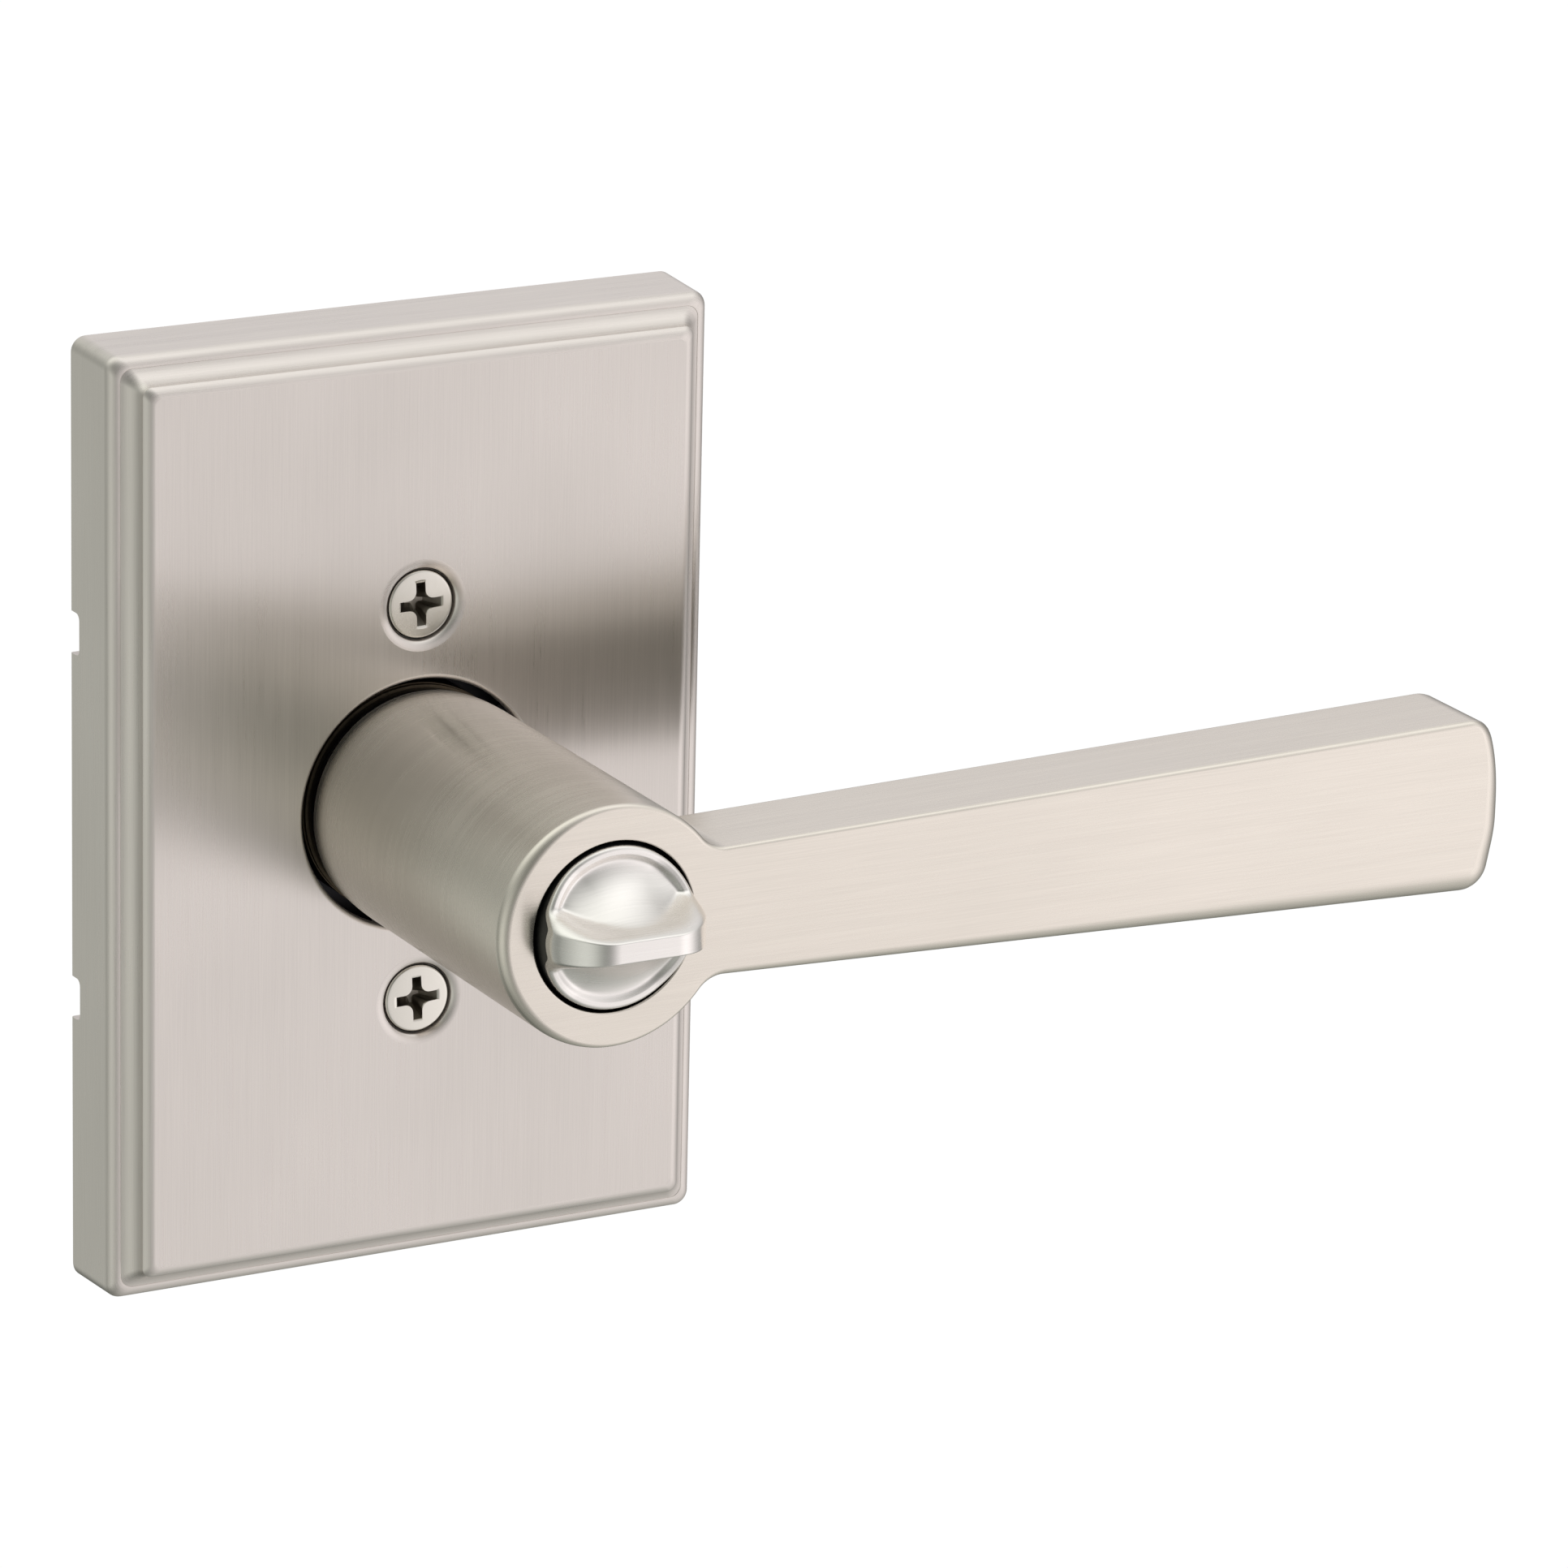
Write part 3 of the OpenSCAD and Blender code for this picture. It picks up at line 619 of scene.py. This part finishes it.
def button_height(x, y):
    """Height of the button's front: a thumb wing along x that flares into the rim at both
    ends, and a hollow flank on each side of it."""
    ax, ay, r = np.abs(x), np.abs(y), np.hypot(x, y)
    past = np.maximum(ax - WING_HALF, 0)
    crest = WING_TOP - 2.3 * (1 - np.sqrt(np.maximum(1 - (past / 5.4) ** 2, 0))) - 0.058 * past ** 2.32
    flat = 1.0 + 0.3 * smooth(WING_HALF, 8.5, ax)
    steep = 6.0 - 3.4 * smooth(4.0, 8.2, ax)
    wing = crest - steep * (np.hypot(np.maximum(ay - flat, 0), 0.4) - 0.4)
    # the flank falls from the wing's foot (0) to the scoop's edge (1)
    reach = np.sqrt(np.maximum(SCOOP_R ** 2 - ax ** 2, 0))
    fall = np.clip((ay - 1.2) / np.maximum(reach - 1.2, 0.4), 0, 1)
    rise = 6.4 * np.maximum(1 - (ax / SCOOP_R) ** 2, 0) ** 0.9
    flare = 1.1 * (1 - smooth(0.12, 1.0, np.arctan2(ay, ax))) * smooth(4.0, 8.0, r)
    ground = RIM_Z - 0.3 + rise * (1 - fall) ** 2.1 + flare + 0.3 * smooth(6.95, 7.8, r)
    fillet = 0.25 * np.maximum(1 - np.abs(ground - wing), 0) ** 2
    over = np.clip(r - (BUTTON_R - RIM_ROUND), 0, RIM_ROUND)
    edge = RIM_ROUND - np.sqrt(np.maximum(RIM_ROUND ** 2 - over ** 2, 0))
    return np.maximum(ground, wing) + fillet - edge


def shade_below(top):
    """Height under which the disc's side is painted dark as shade, where its edge is at height top."""
    return top * 0.7 + GAP_Z * 0.3


def build_button():
    shell = Shell()
    xs = BUTTON_R * np.sin(np.radians(np.linspace(-90, 90, 161)))
    out = np.sqrt(np.maximum(BUTTON_R ** 2 - xs ** 2, 0))
    part = np.minimum(1, out / 3.5)
    inner, edge = 1.75 * part, 0.9 * part
    ys = [inner * t for t in np.linspace(0, 1, 27)]
    ys += [inner + (out - edge - inner) * t for t in np.linspace(0, 1, 23)[1:]]
    ys += [out - edge * cos(a) for a in np.radians(np.linspace(0, 90, 15))[1:]]
    ys = np.array(ys).T
    xs = np.broadcast_to(xs[:, None], ys.shape)
    zs = button_height(xs, ys)
    run = np.concatenate([0 * ys[:, :1], np.cumsum(np.hypot(np.diff(ys), np.diff(zs)), 1)], 1)
    floors = []
    for side in (-1, 1):
        front = np.stack([xs, side * ys, zs], -1)
        shell.sheet(front, xs, side * run)
        rim = front[:, -1]
        levels = (rim[:, 2], shade_below(rim[:, 2]), GAP_Z, SIDE_MID, DISC_REAR)
        wall = [np.column_stack([rim[:, :2], np.broadcast_to(z, len(rim))]) for z in levels]
        shell.sheet(wall, np.arctan2(rim[:, 1], rim[:, 0]) * BUTTON_R, np.array(wall)[..., 2])
        floors.append(wall[-1])
    loop = np.concatenate([floors[0][:-1], floors[1][::-1][:-1]])
    shell.cap([loop, ring(STEM_R, DISC_REAR)])
    shell.lathe([(STEM_R, DISC_REAR), (STEM_R, STEM_REAR + 0.5), (STEM_R - 0.4, STEM_REAR),
                 (BAR_HOLE_R, STEM_REAR)])
    shell.lathe([(BAR_HOLE_R, STEM_REAR), (BAR_HOLE_R, BAR_HOLE_TOP)])
    shell.cap([ring(BAR_HOLE_R, BAR_HOLE_TOP)])
    obj = shell.make("thumb_button", "button_side", ["turn_button"], BUTTON_PLATE, 60)

    # Painted shade: the disc's side in the gap round it is dark
    def shaded_side(x, y, z):
        return hypot(x, y) > BUTTON_R - 0.03 and z < shade_below(button_height(x, y))

    paint(obj, PAINTED_SHADE, shaded_side)


build_button()


# ---------------------------------------------------------------- mounting screws

screw_lo, screw_hi = bench_box("mounting_screws")
HEAD_Z, HEAD_R = screw_hi[2], (screw_hi[0] - screw_lo[0]) / 2
HEAD_ROUND, HEAD_LAND = 0.24, 0.32
NECK_R, THREAD_R, ROOT_OF_THREAD = 1.9, 2.08, 1.735
SCREW_END = -46.0
PITCH = 0.794
SCREW_SHARP = 30  # degrees


def thread(shell, centre, z0, z1, n=28):
    """A 60 degree thread wound down a rod from z0 to z1."""
    total = int((z0 - z1) / PITCH * n)
    prof = [(0.0, 0), (0.12, 0), (0.44, 1), (0.56, 1), (0.88, 0), (1.0, 0)]
    pts, brush = [], []
    for i in range(total + 1):
        a = 2 * pi * i / n
        ease = min(1, i / n, (total - i) / n)
        row = []
        for f, h in prof:
            r = ROOT_OF_THREAD + (THREAD_R - ROOT_OF_THREAD) * h * ease
            row.append((centre[0] + r * cos(a), centre[1] + r * sin(a), z0 - PITCH * (i / n + f)))
        pts.append(row)
        brush.append([(a * ROOT_OF_THREAD, f) for f, h in prof])
    shell.grid(pts, brush)


def cross(turn):
    """Outline of the cross recess, flared between its arms."""
    arm = [(2.45, -0.52), (2.45, 0.52), *arc((1.4, 1.4), 0.88, 270, 180, 6)]
    for k in range(4):
        t = radians(90 * k + turn)
        for x, y in arm:
            yield x * cos(t) - y * sin(t), x * sin(t) + y * cos(t)


def build_screw(side, name, turn):
    y0 = side * SCREW_Y
    shell = Shell()
    under = HEAD_Z - HEAD_LAND
    cone = (HEAD_R - NECK_R) / tan(radians(41))
    profile = [(r, HEAD_Z - 0.09 * (r / HEAD_R) ** 2) for r in (0.4, 1.2, 2.0, 2.7, 3.2)]
    profile += [(HEAD_R - HEAD_ROUND * (1 - sin(a)), under + HEAD_ROUND * cos(a))
                for a in np.radians(np.linspace(0, 90, 7))]
    profile += [(HEAD_R - 0.05, under - 0.06), (NECK_R, under - cone), (NECK_R, -2.8)]
    profile += [(1.74, -3.1), (1.74, SCREW_END + 0.7), (1.4, SCREW_END)]
    shell.lathe(profile, (0, y0), 64)
    for r, z in (profile[0], profile[-1]):
        shell.cap([ring(r, z, (0, y0), 64)])
    thread(shell, (0, y0), -3.0, -44.6)
    obj = shell.make(name, "rose_side", ["mounting_screws"], SCREW_PLATE, SCREW_SHARP)
    levels = [[(x * k, y0 + y * k, HEAD_Z + dz) for x, y in cross(turn)]
              for k, dz in ((1.08, 0.05), (0.95, -0.12), (0.72, -1.1), (0.42, -1.9))]
    carve(obj, [loft(levels)])
    shade(obj, SCREW_SHARP)
    # Painted shade: the cross recess below its chamfer is a darker tone
    paint(obj, RECESS_SHADE, lambda x, y, z: HEAD_Z - 2.2 < z < HEAD_Z - 0.35 and hypot(x, y - y0) < 2.62)


build_screw(1, "screw_upper", 2)
build_screw(-1, "screw_lower", 2.5)


# ---------------------------------------------------------------- CAD pieces that stay

# The bearing collar, deep in the gap round the shank, is black as painted shade
STAYS = {
    "mounting_plate": ZINC, "screw_spacers": ZINC, "bearing_collar": BLACK_AND_SHADE, "spring_housing": ZINC,
    "rivets": ZINC, "drive_tube": ZINC, "spring_driver": ZINC, "spindle_socket": ZINC, "lock_bar": ZINC,
    "front_bushing": BRONZE, "rear_bushing": BRONZE, "thrust_washer": BRONZE,
    "return_spring": BLACK_AND_SHADE, "socket_pins": BLACK_AND_SHADE, "retaining_ring": BLACK_AND_SHADE, "lever_set_screw": BLACK_AND_SHADE,
    "wave_washer": BLACK_AND_SHADE, "bar_pin": BLACK_AND_SHADE, "button_clip": BLACK_AND_SHADE, "button_sleeve": ACETAL,
}
for name, mat in STAYS.items():
    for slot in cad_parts[name].material_slots:
        slot.material = mat


# ---------------------------------------------------------------- floor and backdrop

scene = bpy.context.scene
scene.view_settings.view_transform = "Standard"
scene.view_settings.look = "None"
FLOOR_HALF, FLOOR_Z, BACKDROP_R = 6.0, -0.42, 8.0


def pale():
    """Even white, lit by itself."""
    mat = bpy.data.materials.new("pale")
    mat.use_nodes = True
    nt = mat.node_tree
    nt.nodes.clear()
    out = nt.nodes.new("ShaderNodeOutputMaterial")
    glow = nt.nodes.new("ShaderNodeEmission")
    glow.inputs["Color"].default_value = (1, 1, 1, 1)
    glow.inputs["Strength"].default_value = 1.02
    nt.links.new(glow.outputs[0], out.inputs[0])
    return mat


def set_piece(name, mesh, material):
    """A piece of the set that doesn't show in the object's shine."""
    mesh.materials.append(material)
    obj = bpy.data.objects.new(name, mesh)
    scene.collection.objects.link(obj)
    obj.visible_glossy = False
    obj.visible_diffuse = False
    return obj


def build_set():
    material = pale()
    mesh = bpy.data.meshes.new("floor")
    corners = [(FLOOR_HALF * x, FLOOR_HALF * y, FLOOR_Z) for x, y in ((-1, -1), (1, -1), (1, 1), (-1, 1))]
    mesh.from_pydata(corners, [], [(0, 1, 2, 3)])
    set_piece("floor", mesh, material)
    # pale walls a long way off, which only the camera sees
    mesh = bpy.data.meshes.new("backdrop")
    bm = bmesh.new()
    bmesh.ops.create_icosphere(bm, subdivisions=3, radius=BACKDROP_R)
    bm.to_mesh(mesh)
    bm.free()
    backdrop = set_piece("backdrop", mesh, material)
    backdrop.visible_transmission = False
    backdrop.visible_shadow = False


build_set()


# ---------------------------------------------------------------- light

WARM, PLAIN = np.array([1.02, 0.98, 1.0]), np.ones(3)
OLIVE, COOL = np.array([0.985, 1.01, 0.96]), np.array([1.01, 0.98, 1.02])
FILL = (0.016, 0.024, 0.014)
# where each soft light is, in the row frame, how narrow it is, and its colour
LOBES = [
    ((0.75, -0.62, -0.20), 14.0, 0.68 * WARM),
    ((0.46, -0.88, -0.10), 14.0, 0.30 * WARM),
    ((0.46, -0.77, -0.45), 14.0, 0.34 * WARM),
    ((0.40, -0.10, -0.95), 8.0, 0.40 * OLIVE),
    ((0.96, -0.10, -0.30), 8.0, 0.31 * WARM),
    ((-0.84, -0.46, -0.30), 8.0, 0.78 * OLIVE),
    ((0.46, -0.30, 0.84), 8.0, 1.20 * PLAIN),
    ((-0.46, 0.30, 0.84), 8.0, 1.15 * OLIVE),
    ((0.46, 0.77, 0.45), 20.0, 0.82 * COOL),
    ((-0.46, 0.84, -0.30), 20.0, 0.66 * OLIVE),
]


def operate(nt, kind, operation, *values):
    """A math or vector math node. A value is a constant or another node's output."""
    n = nt.nodes.new(kind)
    n.operation = operation
    for socket, value in zip(n.inputs, values):
        if isinstance(value, bpy.types.NodeSocket):
            nt.links.new(value, socket)
        else:
            socket.default_value = value
    return n


def lobe(nt, sky, direction, power, colour):
    """Full colour where the view points along direction, fading round it."""
    toward = tuple(Vector(direction).normalized())
    facing_it = operate(nt, "ShaderNodeVectorMath", "DOT_PRODUCT", sky, toward).outputs["Value"]
    share = operate(nt, "ShaderNodeMath", "MULTIPLY_ADD", facing_it, 0.5, 0.5).outputs[0]
    share = operate(nt, "ShaderNodeMath", "MAXIMUM", share, 0.0).outputs[0]
    share = operate(nt, "ShaderNodeMath", "POWER", share, power).outputs[0]
    n = operate(nt, "ShaderNodeVectorMath", "SCALE", tuple(colour))
    nt.links.new(share, n.inputs["Scale"])
    return n.outputs[0]


def light_studio():
    """Soft light all round, made of broad lobes."""
    world = bpy.data.worlds.new("studio")
    scene.world = world
    world.use_nodes = True
    nt = world.node_tree
    nt.nodes.clear()
    sky = nt.nodes.new("ShaderNodeTexCoord").outputs["Generated"]
    total = FILL
    for direction, power, colour in LOBES:
        share = lobe(nt, sky, direction, power, colour)
        total = operate(nt, "ShaderNodeVectorMath", "ADD", total, share).outputs[0]
    background = nt.nodes.new("ShaderNodeBackground")
    background.inputs["Strength"].default_value = 1.0
    nt.links.new(total, background.inputs["Color"])
    out = nt.nodes.new("ShaderNodeOutputWorld")
    nt.links.new(background.outputs[0], out.inputs[0])


light_studio()


# ---------------------------------------------------------------- camera

LENS, SENSOR = 202.28, 36
CAMERA_PLACE = (-0.3840, -0.7906, 0.2802)
YAW, PITCH, ROLL = radians(28.718), radians(17.713), radians(1.341)


def place_camera():
    """The photograph's point of view."""
    camera = bpy.data.cameras.new("camera")
    camera.sensor_width = SENSOR
    camera.lens = LENS
    camera.clip_start, camera.clip_end = 0.05, 20
    obj = bpy.data.objects.new("camera", camera)
    scene.collection.objects.link(obj)
    scene.camera = obj
    back = Vector((-sin(YAW) * cos(PITCH), -cos(YAW) * cos(PITCH), sin(PITCH)))
    level = Vector((0, 0, 1)).cross(back).normalized()
    over = back.cross(level)
    right = cos(ROLL) * level + sin(ROLL) * over
    up = -sin(ROLL) * level + cos(ROLL) * over
    turn = Matrix((right, up, back)).transposed()
    obj.matrix_world = Matrix.Translation(CAMERA_PLACE) @ turn.to_4x4()


place_camera()

bpy.context.view_layer.update()
